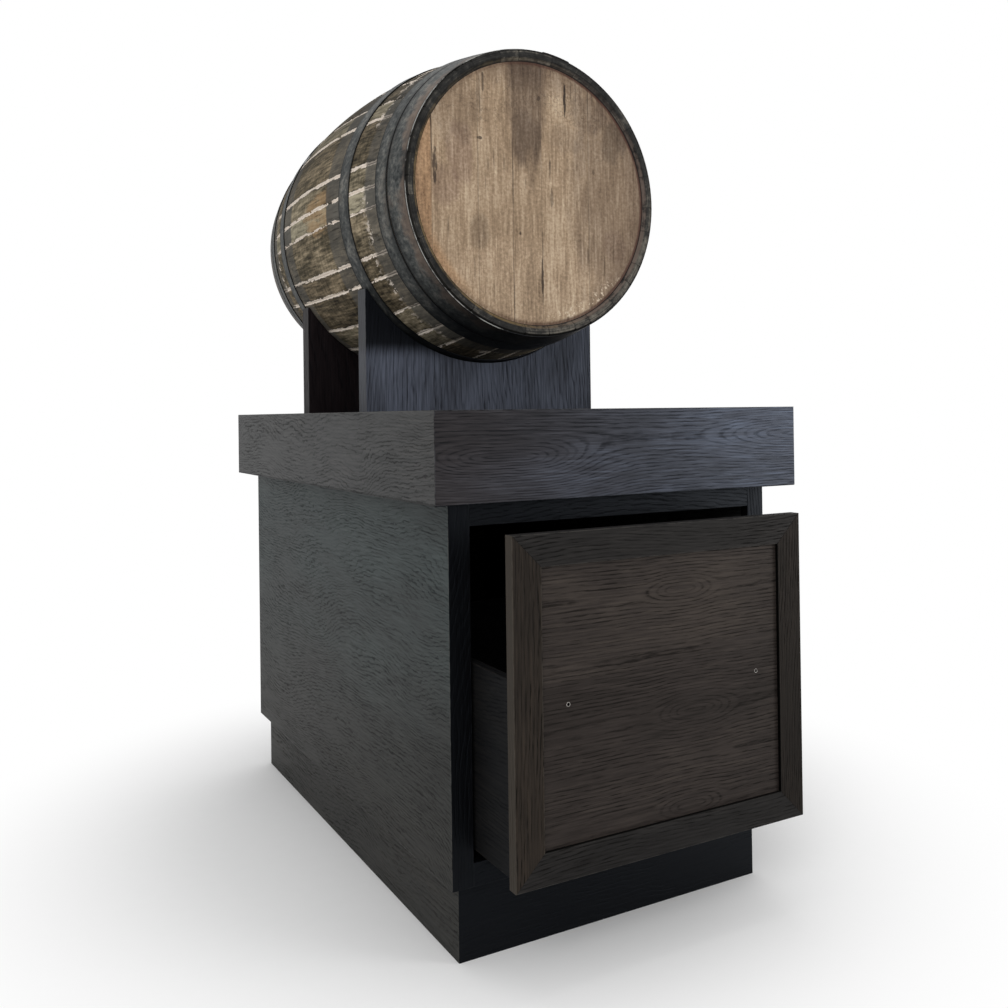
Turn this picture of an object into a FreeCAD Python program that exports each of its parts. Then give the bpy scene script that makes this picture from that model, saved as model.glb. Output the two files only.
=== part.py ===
import FreeCAD, Part
import math
import os

# Barrel bar cabinet: an oak cask lies in a two-board cradle on the thick mitred counter of a
# stained oak cabinet, which has one deep inset drawer on telescopic slides.
# Millimetres. +Z is up and the drawer faces -Y. The origin is on the floor, at the plinth's centre.
# The drawer is drawn part open, by drawer_pull.

Vec = FreeCAD.Vector

# Cabinet
cabinet_height = 890.0
top_width = 750.0
top_depth = 1183.0
top_edge_height = 148.0
side_overhang = 42.0
front_overhang = 42.0
back_overhang = 28.0
board = 19.0
plinth_height = 127.0
plinth_inset = 20.0
face_frame_width = 38.5
back_thickness = 9.0
back_rebate = 10.0
stretcher_width = 90.0
soffit_thickness = 12.0

# Cradle: narrower than the cask by its inset, each board drawn in from a bilge hoop by its tuck
cradle_inset = 54.5
cradle_thickness = 40.0
cradle_tuck = 50.0
cradle_centre_back = 142.0
cradle_tip = 4.0
cradle_fit = 0.3
cradle_screw_radius = 3.0
cradle_screw_head_radius = 6.0
cradle_screw_head_height = 4.0
cradle_screw_length = 70.0
cradle_screw_edge = 60.0
cradle_screws_per_board = 3

# Barrel
barrel_length = 889.0
barrel_bilge_radius = 331.0
barrel_lift = 98.0
barrel_shift_back = 8.0
stave_bow = 49.5
stave_thickness = 22.0
chime_thickness = 12.0
croze_setback = 8.0
croze_width = 6.0
croze_depth = 5.0
head_thickness = 22.0
head_recess = 5.5
head_bevel = 14.0
head_fit = 0.2
head_seam_shares = (-0.86, -0.49, -0.2, 0.05, 0.47)
# Widths of the staves, from the wide bung stave round by the right-hand side
stave_width_shares = (
    16, 12, 9, 15, 11, 13.5, 8.5, 14, 10.7, 16, 9.5, 12.5, 14.5, 8, 13,
    11.5, 15.5, 10, 12, 14.5, 8.5, 16.8, 7.5, 8.9, 19.3, 9, 12.3, 8, 14, 9,
)

# Hoops: distance of each hoop's outer edge from the end of the barrel, and its width
hoop_thickness = 1.6
hoop_fit = 0.1
head_hoop_setback = 4.0
head_hoop_width = 57.0
quarter_hoop_setback = 64.0
quarter_hoop_width = 39.0
bilge_hoop_setback = 209.0
bilge_hoop_width = 44.0
hoop_lap = 62.0
lap_step_angle = 26.0
front_lap_angle = 4.0
rear_lap_angle = -40.0
rivet_radius = 3.0
rivet_head_radius = 6.5
rivet_head_height = 2.5
rivet_pitch = 30.0

# Bung
bung_radius = 26.0
bung_taper_share = 0.08
bung_fit = 0.3
bung_proud = 7.0
bung_length = 36.0

# Drawer
drawer_pull = 132.0
drawer_gap = 2.5
drawer_front_thickness = 20.0
drawer_frame_width = 51.0
drawer_panel_recess = 6.0
drawer_panel_thickness = 10.0
drawer_panel_tongue = 9.0
drawer_tongue_fit = 1.0
box_side_gap = 5.5
box_board = 16.0
box_depth = 600.0
box_rise = 17.5
box_height = 300.0
box_bottom_thickness = 10.0
box_bottom_inset = 13.0
box_groove = 6.0
handle_hole_edge = 49.0
handle_hole_drop = 48.5
handle_hole_radius = 2.5
front_screw_radius = 2.5
front_screw_head_radius = 4.5
front_screw_head_height = 3.0
front_screw_length = 30.0
front_screw_edge = 16.0
front_screw_end = 45.0

# Slides, laid flat under the drawer
slide_length = 560.0
slide_width = 46.0
slide_sheet = 1.2
slide_lip = 2.4
slide_side_gap = 3.0
slide_end_gap = 2.0
slide_web_gap = 1.0
roller_radius = 1.75
roller_height = 3.2
roller_play = 0.1
rollers_per_side = 2
carriage_sheet = 0.8
carriage_length = 270.0
carriage_rim = 0.7
middle_travel_share = 0.5
outer_carriage_travel_share = 0.25
inner_carriage_travel_share = 0.75

overrun = 20.0

# Levels and planes
plinth_width = top_width - 2 * side_overhang - 2 * plinth_inset
plinth_depth = top_depth - front_overhang - back_overhang - 2 * plinth_inset
body_half = plinth_width / 2 + plinth_inset
body_front = -plinth_depth / 2 - plinth_inset
body_back = plinth_depth / 2 + plinth_inset
body_top = cabinet_height - top_edge_height
frame_back = body_front + board
carcass_half = body_half - board
carcass_back = body_back - back_thickness
floor_top = plinth_height + board
top_front = body_front - front_overhang
top_back = body_back + back_overhang
top_half = top_width / 2
opening_half = body_half - face_frame_width
opening_bottom = plinth_height + face_frame_width
opening_top = body_top - face_frame_width

axis_z = cabinet_height + barrel_lift + barrel_bilge_radius
axis_y = cradle_centre_back + barrel_shift_back
barrel_end_radius = barrel_bilge_radius - stave_bow
stave_arc = ((barrel_length / 2) ** 2 + stave_bow ** 2) / (2 * stave_bow)
cradle_half = barrel_bilge_radius - cradle_inset
cradle_reach = barrel_length / 2 - bilge_hoop_setback - cradle_tuck

front_half = opening_half - drawer_gap
front_bottom = opening_bottom + drawer_gap
front_top = opening_top - drawer_gap
front_face = body_front - drawer_pull
front_back = front_face + drawer_front_thickness
panel_face = front_face + drawer_panel_recess
panel_back = panel_face + drawer_panel_thickness
box_half = opening_half - box_side_gap
box_inside = box_half - box_board
box_bottom = opening_bottom + box_rise
box_top = box_bottom + box_height
box_floor = box_bottom + box_bottom_inset
box_floor_top = box_floor + box_bottom_thickness
box_back = front_back + box_depth
handle_x = front_half - drawer_frame_width - handle_hole_edge
handle_z = box_top - handle_hole_drop

slide_x = box_inside - slide_side_gap - slide_width / 2
drawer_rail_rise = 2 * slide_sheet + 4 * slide_web_gap
carriage_rise = drawer_rail_rise + roller_height + 2 * roller_play + carriage_rim
slide_height = carriage_rise + slide_web_gap / 2 + slide_sheet + slide_web_gap
slide_base = box_floor - slide_height
slide_front = body_front + drawer_front_thickness + box_board + slide_end_gap
roller_gap = 2 * (roller_radius + roller_play)
outer_wall = slide_width / 2 - slide_sheet
middle_wall = outer_wall - roller_gap
inner_wall = middle_wall - slide_sheet - roller_gap
outer_top = box_floor - slide_web_gap
middle_base = slide_base + slide_sheet + 2 * slide_web_gap
middle_top = slide_base + carriage_rise
inner_base = slide_base + drawer_rail_rise
roller_z = inner_base + roller_play + roller_height / 2


def box(x0, x1, y0, y1, z0, z1):
    return Part.makeBox(x1 - x0, y1 - y0, z1 - z0, Vec(x0, y0, z0))


def closed_face(points):
    return Part.Face(Part.makePolygon(points + points[:1]))


def upright(outline, z0, z1):
    """A board drawn in plan and raised from z0 to z1."""
    face = closed_face([Vec(x, y, z0) for x, y in outline])
    return face.extrude(Vec(0, 0, z1 - z0))


def along_y(outline, y0, y1):
    """A section drawn in x and z, drawn out from y0 to y1."""
    face = closed_face([Vec(x, y0, z) for x, z in outline])
    return face.extrude(Vec(0, y1 - y0, 0))


def mitred(outer, inner):
    """A board between two flat outlines, with mitres wherever the inner one is drawn in."""
    faces = [closed_face(outer), closed_face(inner)]
    for i in range(len(outer)):
        faces.append(closed_face([outer[i - 1], outer[i], inner[i], inner[i - 1]]))
    return Part.makeSolid(Part.makeShell(faces))


def sided(side, outline):
    """An outline for the right (1) or, mirrored, for the left (-1)."""
    return [(side * x, y) for x, y in outline]


# Plinth
def plinth_board_x(y_out, y_in):
    """Front or back plinth board: its outer face at y_out, mitred at both ends."""
    half = plinth_width / 2
    faces = []
    for y, reach in ((y_out, half), (y_in, half - board)):
        ends = ((-reach, 0), (reach, 0), (reach, plinth_height), (-reach, plinth_height))
        faces.append([Vec(x, y, z) for x, z in ends])
    return mitred(faces[0], faces[1])


def plinth_board_y(side):
    half = plinth_depth / 2
    faces = []
    for x, reach in ((plinth_width / 2, half), (plinth_width / 2 - board, half - board)):
        ends = ((-reach, 0), (reach, 0), (reach, plinth_height), (-reach, plinth_height))
        faces.append([Vec(side * x, y, z) for y, z in ends])
    return mitred(faces[0], faces[1])


def plinth_cross_rail():
    half = plinth_width / 2 - board
    return box(-half, half, -board / 2, board / 2, 0, plinth_height)


# Carcass
def side_panel(side):
    """Mitred to the face frame in front, rebated for the back panel behind."""
    outline = [
        (body_half, body_front),
        (body_half, body_back),
        (body_half - board + back_rebate, body_back),
        (body_half - board + back_rebate, carcass_back),
        (carcass_half, carcass_back),
        (carcass_half, frame_back),
    ]
    return upright(sided(side, outline), plinth_height, body_top)


def face_frame_stile(side):
    outline = [
        (body_half, body_front),
        (opening_half, body_front),
        (opening_half, frame_back),
        (carcass_half, frame_back),
    ]
    return upright(sided(side, outline), plinth_height, body_top)


def face_frame_rail(z0, z1):
    return box(-opening_half, opening_half, body_front, frame_back, z0, z1)


def carcass_bottom():
    return box(-carcass_half, carcass_half, frame_back, carcass_back, plinth_height, floor_top)


def back_panel():
    half = body_half - board + back_rebate
    return box(-half, half, carcass_back, body_back, plinth_height, body_top)


def stretcher(y0, y1):
    return box(-carcass_half, carcass_half, y0, y1, body_top - board, body_top)


def slide_bearer(side):
    """Batten on the carcass bottom that carries one slide."""
    half = slide_width / 2
    x0, x1 = sorted((side * (slide_x - half), side * (slide_x + half)))
    return box(x0, x1, slide_front, slide_front + slide_length, floor_top, slide_base)


# Counter: a hollow slab of mitred boards on inner ribs
def counter_top_panel():
    faces = []
    for z, inset in ((cabinet_height, 0), (cabinet_height - board, board)):
        x = top_half - inset
        y0, y1 = top_front + inset, top_back - inset
        faces.append([Vec(-x, y0, z), Vec(x, y0, z), Vec(x, y1, z), Vec(-x, y1, z)])
    return mitred(faces[0], faces[1]).cut(Part.makeCompound(cradle_screw_set()))


def apron_x(y_out, y_in):
    """Front or back edge of the counter, mitred to its neighbours and to the top panel."""
    faces = []
    for y, inset in ((y_out, 0), (y_in, board)):
        x, z = top_half - inset, cabinet_height - inset
        faces.append([Vec(-x, y, body_top), Vec(x, y, body_top), Vec(x, y, z), Vec(-x, y, z)])
    return mitred(faces[0], faces[1])


def apron_y(side):
    faces = []
    for inset in (0, board):
        x, z = side * (top_half - inset), cabinet_height - inset
        y0, y1 = top_front + inset, top_back - inset
        faces.append([Vec(x, y0, body_top), Vec(x, y1, body_top), Vec(x, y1, z), Vec(x, y0, z)])
    return mitred(faces[0], faces[1])


def counter_soffit():
    x = top_half - board
    return box(-x, x, top_front + board, top_back - board, body_top, body_top + soffit_thickness)


def counter_ribs():
    """One rib in front of each cradle board, clear of its screws, and one under the free front part."""
    x = top_half - board
    beside = [cradle_y(end) - cradle_thickness for end in (-1, 1)]
    places = [(top_front + beside[0]) / 2] + beside
    z0, z1 = body_top + soffit_thickness, cabinet_height - board
    return Part.makeCompound([box(-x, x, y - board / 2, y + board / 2, z0, z1) for y in places])


# Cradle
def cradle_y(end):
    """Middle of the front (-1) or rear (1) cradle board's thickness."""
    return cradle_centre_back + end * cradle_reach


def cradle_radius(end):
    """Clears the staves, and the bilge hoop where it lies over the board."""
    near = abs(cradle_y(end) - axis_y) - cradle_thickness / 2
    far = near + cradle_thickness
    hoop_outer, hoop_inner = hoop_ends(bilge, 1)
    radius = stave_radius(near)
    if hoop_inner < far and hoop_outer > near:
        radius = max(radius, stave_radius(max(near, hoop_inner)) + hoop_lift(bilge) + hoop_thickness)
    return radius + cradle_fit


def cradle_board(end):
    """Upright board with a hollow top edge for the cask and blunt tips."""
    y = cradle_y(end) - cradle_thickness / 2
    radius = cradle_radius(end)
    hollow = cradle_half - cradle_tip
    tip = axis_z - math.sqrt(radius ** 2 - hollow ** 2)
    left = [(-hollow, tip), (-cradle_half, tip), (-cradle_half, cabinet_height)]
    right = [(-x, z) for x, z in reversed(left)]
    points = [Vec(x, y, z) for x, z in left + right]
    arc = Part.Arc(points[-1], Vec(0, y, axis_z - radius), points[0]).toShape()
    outline = Part.Wire(Part.makePolygon(points).Edges + [arc])
    solid = Part.Face(outline).extrude(Vec(0, cradle_thickness, 0))
    return solid.cut(Part.makeCompound(cradle_screw_set()))


def screw(foot, direction, radius, length, head_radius, head_height):
    """Countersunk screw: its head's flat at foot, its point length away."""
    head = Part.makeCone(head_radius, radius, head_height, foot, direction)
    shank = Part.makeCylinder(radius, length, foot, direction)
    return head.fuse(shank).removeSplitter()


def cradle_screw_set():
    """Driven up through the top panel into the cradle boards."""
    z = cabinet_height - board
    reach = cradle_half - cradle_screw_edge
    pitch = 2 * reach / (cradle_screws_per_board - 1)
    screws = []
    for end in (-1, 1):
        for i in range(cradle_screws_per_board):
            screws.append(screw(Vec(i * pitch - reach, cradle_y(end), z), Vec(0, 0, 1), cradle_screw_radius,
                                cradle_screw_length, cradle_screw_head_radius, cradle_screw_head_height))
    return screws


# Barrel: distances are measured along its axis from its middle, radii from its axis
def stave_radius(along, depth=0):
    """Radius of the bowed stave, depth below its outer face."""
    return barrel_bilge_radius - stave_arc + math.sqrt((stave_arc - depth) ** 2 - along ** 2)


def barrel_point(along, radius):
    return Vec(0, axis_y + along, axis_z + radius)


def turned(face, start, angle):
    """A profile above the barrel's axis, turned round it from start degrees past the top."""
    centre, axis = Vec(0, axis_y, axis_z), Vec(0, 1, 0)
    placed = face.copy()
    placed.rotate(centre, axis, start)
    return placed.revolve(centre, axis, angle)


def stave_profile():
    """Bowed section of a stave: chime bevel and croze groove at both ends."""
    end = barrel_length / 2
    croze_outer = end - croze_setback
    croze_inner = croze_outer - croze_width
    croze_radius = stave_radius(croze_outer, stave_thickness) + croze_depth
    end_points = [
        (end, barrel_end_radius),
        (end, barrel_end_radius - chime_thickness),
        (croze_outer, stave_radius(croze_outer, stave_thickness)),
        (croze_outer, croze_radius),
        (croze_inner, croze_radius),
        (croze_inner, stave_radius(croze_inner, stave_thickness)),
    ]
    rear = [barrel_point(a, r) for a, r in end_points]
    front = [barrel_point(-a, r) for a, r in reversed(end_points)]
    outside = Part.Arc(front[-1], barrel_point(0, barrel_bilge_radius), rear[0]).toShape()
    inside = Part.Arc(rear[-1], barrel_point(0, barrel_bilge_radius - stave_thickness), front[0]).toShape()
    edges = [outside] + Part.makePolygon(rear).Edges + [inside] + Part.makePolygon(front).Edges
    return Part.Face(Part.Wire(edges))


def stave_angles():
    """(start, angle) of each stave in degrees past the top, the bung stave first."""
    full = 360.0 / sum(stave_width_shares)
    start = -stave_width_shares[0] * full / 2
    spans = []
    for share in stave_width_shares:
        spans.append((start, share * full))
        start += share * full
    return spans


def bung_cone(fit, low, high):
    """Tapered plug on the top of the bilge, from radius low to high, drawn in by fit."""
    at_low = bung_radius + (low - barrel_bilge_radius) * bung_taper_share - fit
    at_high = bung_radius + (high - barrel_bilge_radius) * bung_taper_share - fit
    return Part.makeCone(at_low, at_high, high - low, Vec(0, axis_y, axis_z + low), Vec(0, 0, 1))


def bung():
    top = barrel_bilge_radius + bung_proud
    return bung_cone(bung_fit, top - bung_length, top)


def bung_stave():
    start, angle = stave_angles()[0]
    hole = bung_cone(0, barrel_bilge_radius - stave_thickness - overrun, barrel_bilge_radius + overrun)
    return turned(stave_profile(), start, angle).cut(hole)


def barrel_staves():
    profile = stave_profile()
    return Part.makeCompound([turned(profile, start, angle) for start, angle in stave_angles()[1:]])


def barrel_head(end):
    """Bevelled disc, its rim a tongue in the croze, cut into boards with upright seams."""
    croze_outer = barrel_length / 2 - croze_setback
    radius = stave_radius(croze_outer, stave_thickness) + croze_depth - head_fit
    outside = barrel_length / 2 - head_recess
    rim_outer = croze_outer - head_fit
    rim_inner = croze_outer - croze_width + head_fit
    inside = outside - head_thickness
    shoulder = radius - croze_depth
    section = [
        (outside, 0),
        (outside, radius - head_bevel),
        (rim_outer, shoulder),
        (rim_outer, radius),
        (rim_inner, radius),
        (rim_inner, shoulder),
        (inside, radius - head_bevel),
        (inside, 0),
    ]
    face = closed_face([barrel_point(end * a, r) for a, r in section])
    disc = turned(face, 0, 360)
    seams = [-radius - overrun] + [radius * s for s in head_seam_shares] + [radius + overrun]
    y0, y1 = sorted((axis_y + end * (inside - overrun), axis_y + end * (outside + overrun)))
    boards = []
    for x0, x1 in zip(seams, seams[1:]):
        slab = box(x0, x1, y0, y1, axis_z - radius - overrun, axis_z + radius + overrun)
        boards.append(disc.common(slab).Solids[0])
    return Part.makeCompound(boards)


# Hoops
head, quarter, bilge = range(3)
hoop_places = (
    (head_hoop_setback, head_hoop_width),
    (quarter_hoop_setback, quarter_hoop_width),
    (bilge_hoop_setback, bilge_hoop_width),
)


def hoop_ends(place, end):
    """Outer and inner edge of a hoop, along the axis."""
    setback, width = hoop_places[place]
    outer = barrel_length / 2 - setback
    return end * outer, end * (outer - width)


def hoop_lift(place):
    """The staves bow under a straight hoop, which stands off by that much and its fit."""
    return hoop_places[place][1] ** 2 / (8 * stave_arc) + hoop_fit


def hoop_band(place, end, layer):
    """Flared section of a hoop, or of the lapped layer on it."""
    a0, a1 = hoop_ends(place, end)
    low = hoop_lift(place) + layer * hoop_thickness
    high = low + hoop_thickness
    r0, r1 = stave_radius(a0), stave_radius(a1)
    section = [(a0, r0 + low), (a1, r1 + low), (a1, r1 + high), (a0, r0 + high)]
    return closed_face([barrel_point(a, r) for a, r in section])


def lap_angle(place, end):
    """Where a hoop's lap starts, in degrees past the top."""
    first = front_lap_angle if end < 0 else rear_lap_angle
    return first + place * lap_step_angle


def lap_span(place, end):
    mean = (stave_radius(hoop_ends(place, end)[0]) + stave_radius(hoop_ends(place, end)[1])) / 2
    return math.degrees(hoop_lap / mean), mean


def rivets(place, end):
    """Two rivets through the lap of one hoop."""
    a0, a1 = hoop_ends(place, end)
    span, mean = lap_span(place, end)
    middle = lap_angle(place, end) + span / 2
    apart = math.degrees(rivet_pitch / mean) / 2
    slope = math.degrees(math.atan((stave_radius(a1) - stave_radius(a0)) / (a1 - a0)))
    along = (a0 + a1) / 2
    foot = barrel_point(along, mean + hoop_lift(place))
    solids = []
    for turn in (middle - apart, middle + apart):
        shank = Part.makeCylinder(rivet_radius, 2 * hoop_thickness, foot, Vec(0, 0, 1))
        seat = foot + Vec(0, 0, 2 * hoop_thickness)
        head = Part.makeCone(rivet_head_radius, rivet_radius, rivet_head_height, seat, Vec(0, 0, 1))
        solid = shank.fuse(head).removeSplitter()
        solid.rotate(foot, Vec(1, 0, 0), slope)
        solid.rotate(Vec(0, axis_y, axis_z), Vec(0, 1, 0), turn)
        solids.append(solid)
    return solids


def hoop(place, end):
    """A flared steel band with its end lapped over its start and riveted."""
    band = turned(hoop_band(place, end, 0), 0, 360)
    lap = turned(hoop_band(place, end, 1), lap_angle(place, end), lap_span(place, end)[0])
    return band.fuse(lap).cut(Part.makeCompound(rivets(place, end)))


def hoop_rivets():
    places = range(len(hoop_places))
    return Part.makeCompound([rivet for end in (-1, 1) for place in places for rivet in rivets(place, end)])


# Drawer front: a mitred frame, grooved for a recessed panel
def drawer_frame_member(points):
    """Trapezium in x and z, drawn out to the front's thickness, with the panel's groove cut in."""
    return along_y(points, front_face, front_back).cut(panel_blank(0))


def panel_blank(fit):
    x = front_half - drawer_frame_width + drawer_panel_tongue - fit
    z0 = front_bottom + drawer_frame_width - drawer_panel_tongue + fit
    z1 = front_top - drawer_frame_width + drawer_panel_tongue - fit
    return box(-x, x, panel_face, panel_back, z0, z1)


def drawer_front_stile(side):
    inner = front_half - drawer_frame_width
    outline = [
        (front_half, front_bottom),
        (front_half, front_top),
        (inner, front_top - drawer_frame_width),
        (inner, front_bottom + drawer_frame_width),
    ]
    return drawer_frame_member(sided(side, outline)).cut(Part.makeCompound(front_screw_set()))


def drawer_front_rail(z_out, z_in):
    inner = front_half - drawer_frame_width
    return drawer_frame_member([(-front_half, z_out), (front_half, z_out), (inner, z_in), (-inner, z_in)])


def handle_holes():
    y0, y1 = front_face - overrun, front_back + box_board + overrun
    holes = []
    for side in (-1, 1):
        start = Vec(side * handle_x, y0, handle_z)
        holes.append(Part.makeCylinder(handle_hole_radius, y1 - y0, start, Vec(0, 1, 0)))
    return Part.makeCompound(holes)


def drawer_front_panel():
    return panel_blank(drawer_tongue_fit).cut(handle_holes())


def front_screw_set():
    """Driven from inside the box through its front board into the drawer front's stiles."""
    y = front_back + box_board
    screws = []
    for side in (-1, 1):
        for z in (box_floor_top + front_screw_end, box_top - front_screw_end):
            foot = Vec(side * (box_inside - front_screw_edge), y, z)
            screws.append(screw(foot, Vec(0, -1, 0), front_screw_radius, front_screw_length,
                                front_screw_head_radius, front_screw_head_height))
    return screws


# Drawer box
def bottom_blank():
    x = box_inside + box_groove
    return box(-x, x, front_back + box_board - box_groove, box_back, box_floor, box_floor_top)


def drawer_box_side(side):
    x0, x1 = sorted((side * box_inside, side * box_half))
    return box(x0, x1, front_back, box_back, box_bottom, box_top).cut(bottom_blank())


def drawer_box_front():
    solid = box(-box_inside, box_inside, front_back, front_back + box_board, box_bottom, box_top)
    return solid.cut(bottom_blank()).cut(handle_holes()).cut(Part.makeCompound(front_screw_set()))


def drawer_box_back():
    return box(-box_inside, box_inside, box_back - box_board, box_back, box_floor_top, box_top)


# Slides
def channel(side, half_outer, base, top, y0):
    """An upward U of sheet steel along the slide."""
    outer, inner = half_outer, half_outer - slide_sheet
    section = [
        (-outer, top), (-outer, base), (outer, base), (outer, top),
        (inner, top), (inner, base + slide_sheet), (-inner, base + slide_sheet), (-inner, top),
    ]
    return along_y([(side * slide_x + x, z) for x, z in section], y0, y0 + slide_length)


def slide_cabinet_rail(side):
    """Outer channel on its bearer, with lips turned in over the rollers."""
    outer, inner = slide_width / 2, outer_wall
    lip = inner - slide_lip
    lip_base = outer_top - slide_sheet
    section = [
        (-lip, outer_top), (-outer, outer_top), (-outer, slide_base),
        (outer, slide_base), (outer, outer_top), (lip, outer_top),
        (lip, lip_base), (inner, lip_base), (inner, slide_base + slide_sheet),
        (-inner, slide_base + slide_sheet), (-inner, lip_base), (-lip, lip_base),
    ]
    return along_y([(side * slide_x + x, z) for x, z in section], slide_front, slide_front + slide_length)


def slide_middle_rail(side):
    y0 = slide_front - drawer_pull * middle_travel_share
    return channel(side, middle_wall, middle_base, middle_top, y0)


def slide_drawer_rail(side):
    """Hat channel, its web screwed up against the drawer's bottom."""
    outer, inner = inner_wall, inner_wall - slide_sheet
    web = box_floor - slide_sheet
    section = [
        (-outer, inner_base), (-outer, box_floor), (outer, box_floor), (outer, inner_base),
        (inner, inner_base), (inner, web), (-inner, web), (-inner, inner_base),
    ]
    y0 = slide_front - drawer_pull
    return along_y([(side * slide_x + x, z) for x, z in section], y0, y0 + slide_length)


def roller_carriage(side, roller_x, base, travel_share):
    """A strip bent up on both sides, with upright rollers in the windows of its sides."""
    half = roller_x + carriage_sheet / 2
    inner = half - carriage_sheet
    window = roller_height / 2 + roller_play
    top = slide_base + carriage_rise
    centre = side * slide_x
    y0 = slide_front + (slide_length - carriage_length) / 2 - drawer_pull * travel_share
    section = [
        (-half, top), (-half, base), (half, base), (half, top),
        (inner, top), (inner, base + carriage_sheet), (-inner, base + carriage_sheet), (-inner, top),
    ]
    strip = along_y([(centre + x, z) for x, z in section], y0, y0 + carriage_length)
    pitch = carriage_length / rollers_per_side
    reach = roller_radius + roller_play
    rollers = []
    for i in range(rollers_per_side):
        y = y0 + pitch / 2 + i * pitch
        for x in (centre - roller_x, centre + roller_x):
            z0, z1 = roller_z - window, roller_z + window
            strip = strip.cut(box(x - reach, x + reach, y - reach, y + reach, z0, z1))
            foot = Vec(x, y, roller_z - roller_height / 2)
            rollers.append(Part.makeCylinder(roller_radius, roller_height, foot))
    return Part.makeCompound([strip] + rollers)


def slide_outer_carriage(side):
    base = slide_base + slide_sheet + slide_web_gap - carriage_sheet / 2
    return roller_carriage(side, outer_wall - roller_gap / 2, base, outer_carriage_travel_share)


def slide_inner_carriage(side):
    base = middle_base + slide_sheet + slide_web_gap - carriage_sheet / 2
    roller_x = middle_wall - slide_sheet - roller_gap / 2
    return roller_carriage(side, roller_x, base, inner_carriage_travel_share)


nodes = {
    "plinth_front": plinth_board_x(-plinth_depth / 2, -plinth_depth / 2 + board),
    "plinth_back": plinth_board_x(plinth_depth / 2, plinth_depth / 2 - board),
    "plinth_cross_rail": plinth_cross_rail(),
    "carcass_bottom": carcass_bottom(),
    "back_panel": back_panel(),
    "stretcher_front": stretcher(frame_back, frame_back + stretcher_width),
    "stretcher_rear": stretcher(carcass_back - stretcher_width, carcass_back),
    "face_frame_rail_top": face_frame_rail(opening_top, body_top),
    "face_frame_rail_bottom": face_frame_rail(plinth_height, opening_bottom),
    "counter_top_panel": counter_top_panel(),
    "counter_apron_front": apron_x(top_front, top_front + board),
    "counter_apron_back": apron_x(top_back, top_back - board),
    "counter_soffit": counter_soffit(),
    "counter_ribs": counter_ribs(),
    "cradle_board_front": cradle_board(-1),
    "cradle_board_rear": cradle_board(1),
    "cradle_screws": Part.makeCompound(cradle_screw_set()),
    "barrel_staves": barrel_staves(),
    "bung_stave": bung_stave(),
    "bung": bung(),
    "barrel_head_front": barrel_head(-1),
    "barrel_head_rear": barrel_head(1),
    "hoop_rivets": hoop_rivets(),
    "drawer_front_rail_top": drawer_front_rail(front_top, front_top - drawer_frame_width),
    "drawer_front_rail_bottom": drawer_front_rail(front_bottom, front_bottom + drawer_frame_width),
    "drawer_front_panel": drawer_front_panel(),
    "drawer_front_screws": Part.makeCompound(front_screw_set()),
    "drawer_box_front": drawer_box_front(),
    "drawer_box_back": drawer_box_back(),
    "drawer_bottom": bottom_blank(),
}
for name, place in (("head_hoop", head), ("quarter_hoop", quarter), ("bilge_hoop", bilge)):
    nodes[name + "_front"] = hoop(place, -1)
    nodes[name + "_rear"] = hoop(place, 1)
for name, side in (("left", -1), ("right", 1)):
    nodes["plinth_" + name] = plinth_board_y(side)
    nodes["side_panel_" + name] = side_panel(side)
    nodes["face_frame_stile_" + name] = face_frame_stile(side)
    nodes["counter_apron_" + name] = apron_y(side)
    nodes["slide_bearer_" + name] = slide_bearer(side)
    nodes["drawer_front_stile_" + name] = drawer_front_stile(side)
    nodes["drawer_box_side_" + name] = drawer_box_side(side)
    nodes["slide_cabinet_rail_" + name] = slide_cabinet_rail(side)
    nodes["slide_middle_rail_" + name] = slide_middle_rail(side)
    nodes["slide_drawer_rail_" + name] = slide_drawer_rail(side)
    nodes["slide_outer_carriage_" + name] = slide_outer_carriage(side)
    nodes["slide_inner_carriage_" + name] = slide_inner_carriage(side)

os.makedirs("parts", exist_ok=True)
for name, shape in nodes.items():
    shape.exportStep("parts/" + name + ".step")
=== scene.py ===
import math
import random
import zlib

import bmesh
import bpy
from mathutils import Matrix, Vector, noise


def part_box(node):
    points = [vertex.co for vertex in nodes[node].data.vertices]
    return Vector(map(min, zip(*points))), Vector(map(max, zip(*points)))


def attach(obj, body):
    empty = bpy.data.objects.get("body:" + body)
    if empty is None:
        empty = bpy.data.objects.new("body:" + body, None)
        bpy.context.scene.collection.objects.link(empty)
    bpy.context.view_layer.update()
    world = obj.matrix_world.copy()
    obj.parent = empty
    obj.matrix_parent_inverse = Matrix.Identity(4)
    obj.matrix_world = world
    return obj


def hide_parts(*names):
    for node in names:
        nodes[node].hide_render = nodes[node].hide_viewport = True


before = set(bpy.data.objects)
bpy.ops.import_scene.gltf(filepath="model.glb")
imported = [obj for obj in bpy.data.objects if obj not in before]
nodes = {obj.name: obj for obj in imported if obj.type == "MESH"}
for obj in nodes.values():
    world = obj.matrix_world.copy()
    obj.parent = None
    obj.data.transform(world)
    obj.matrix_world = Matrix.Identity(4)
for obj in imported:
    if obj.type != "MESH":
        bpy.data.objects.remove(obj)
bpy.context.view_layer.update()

# Looks of the barrel bar cabinet. Metres, in the frame of the solids: +Z is up, the drawer faces -Y.
# Staves and heads are rebuilt as separate boards with eased joints. Every other piece keeps its solid and
# gets a finish, and all but the hidden and the small ones get eased edges.

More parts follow.
